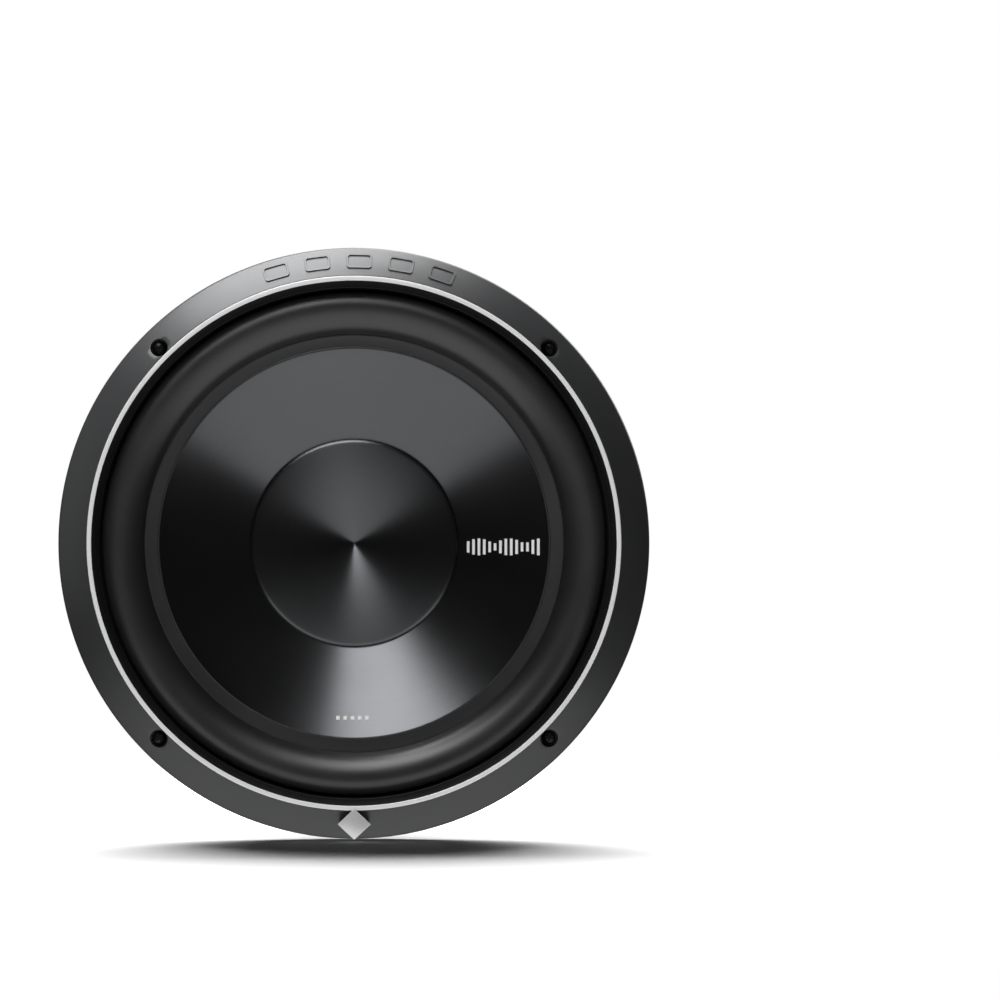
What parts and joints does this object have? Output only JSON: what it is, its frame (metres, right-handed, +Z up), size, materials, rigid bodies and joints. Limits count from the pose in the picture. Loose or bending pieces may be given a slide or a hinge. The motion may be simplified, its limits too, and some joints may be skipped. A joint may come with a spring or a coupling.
{
  "type": "car subwoofer speaker",
  "caption": "Round long-throw subwoofer driver with a metal cone, rubber surround, moulded trim ring, ventilated basket, ferrite motor and push terminals.",
  "frame": {"origin": "centre of the mounting plane, where the gasket meets the baffle", "axes": "-Y out of the front along the driver's axis, +Z up, +X to the right seen from the front"},
  "size_m": [0.326, 0.1925, 0.326],
  "materials": {
    "basket_steel": "satin black powder coat",
    "foam": "matt closed-cell foam",
    "trim_plastic": "satin dark grey moulded",
    "bright_trim": "satin silver",
    "badge": "satin pale silver",
    "white_print": "screen-printed ink",
    "black_screw": "black phosphate",
    "black_plastic": "matt black",
    "surround_rubber": "satin black moulded rubber",
    "anodised_cone": "black anodised, finely spun",
    "former_film": "amber film",
    "copper_wire": "enamelled copper wire",
    "spider_cloth": "impregnated woven cloth",
    "motor_steel": "black passivated steel",
    "zinc_bolt": "bright zinc",
    "ferrite": "ground ferrite",
    "copper_sleeve": "turned copper",
    "boot_rubber": "matt moulded rubber",
    "screen_steel": "woven steel wire",
    "terminal_plastic": "matt black moulded",
    "tab_brass": "tinned brass",
    "button_red": "red moulded",
    "button_black": "black moulded",
    "spring_steel": "drawn wire",
    "lead_braid": "braided tinsel"
  },
  "bodies": {
    "frame": {"basket": "basket_steel", "mounting_gasket": "foam", "trim_ring": "trim_plastic", "accent_ring": "bright_trim", "badge_plate": "badge", "mounting_screws": "black_screw", "surround_clamp_ring": "black_plastic", "surround": "surround_rubber", "spider": "spider_cloth", "top_plate": "motor_steel", "motor_bolts": "zinc_bolt", "magnet_front": "ferrite", "magnet_rear": "ferrite", "yoke": "motor_steel", "shorting_sleeve": "copper_sleeve", "magnet_boot": "boot_rubber", "vent_screen": "screen_steel", "terminal_block_right": "terminal_plastic", "terminal_block_left": "terminal_plastic", "terminal_tabs_right": "tab_brass", "terminal_tabs_left": "tab_brass", "terminal_screws": "zinc_bolt", "spring_right_upper": "spring_steel", "spring_right_lower": "spring_steel", "spring_left_upper": "spring_steel", "spring_left_lower": "spring_steel", "lead_right_upper": "lead_braid", "lead_right_lower": "lead_braid", "lead_left_upper": "lead_braid", "lead_left_lower": "lead_braid"},
    "cone_assembly": {"cone": "anodised_cone", "dust_cap": "anodised_cone", "former": "former_film", "winding_inner": "copper_wire", "winding_outer": "copper_wire", "former_collar": "black_plastic"},
    "button_right_upper": {"button_right_upper": "button_red"},
    "button_right_lower": {"button_right_lower": "button_black"},
    "button_left_upper": {"button_left_upper": "button_red"},
    "button_left_lower": {"button_left_lower": "button_black"}
  },
  "joints": [
    {"name": "cone_travel", "type": "slide", "parent": "frame", "child": "cone_assembly", "axis": [0, -1, 0], "range_m": [-0.0135, 0.0135], "stiffness_N_per_m": 5000, "deforming": ["surround", "spider", "lead_right_upper", "lead_right_lower", "lead_left_upper", "lead_left_lower"]},
    {"name": "press_right_upper", "type": "slide", "parent": "frame", "child": "button_right_upper", "axis": [-1, 0, 0], "range_m": [0, 0.0035], "stiffness_N_per_m": 900, "springref_m": -0.002, "deforming": ["spring_right_upper"]},
    {"name": "press_right_lower", "type": "slide", "parent": "frame", "child": "button_right_lower", "axis": [-1, 0, 0], "range_m": [0, 0.0035], "stiffness_N_per_m": 900, "springref_m": -0.002, "deforming": ["spring_right_lower"]},
    {"name": "press_left_upper", "type": "slide", "parent": "frame", "child": "button_left_upper", "axis": [1, 0, 0], "range_m": [0, 0.0035], "stiffness_N_per_m": 900, "springref_m": -0.002, "deforming": ["spring_left_upper"]},
    {"name": "press_left_lower", "type": "slide", "parent": "frame", "child": "button_left_lower", "axis": [1, 0, 0], "range_m": [0, 0.0035], "stiffness_N_per_m": 900, "springref_m": -0.002, "deforming": ["spring_left_lower"]}
  ]
}
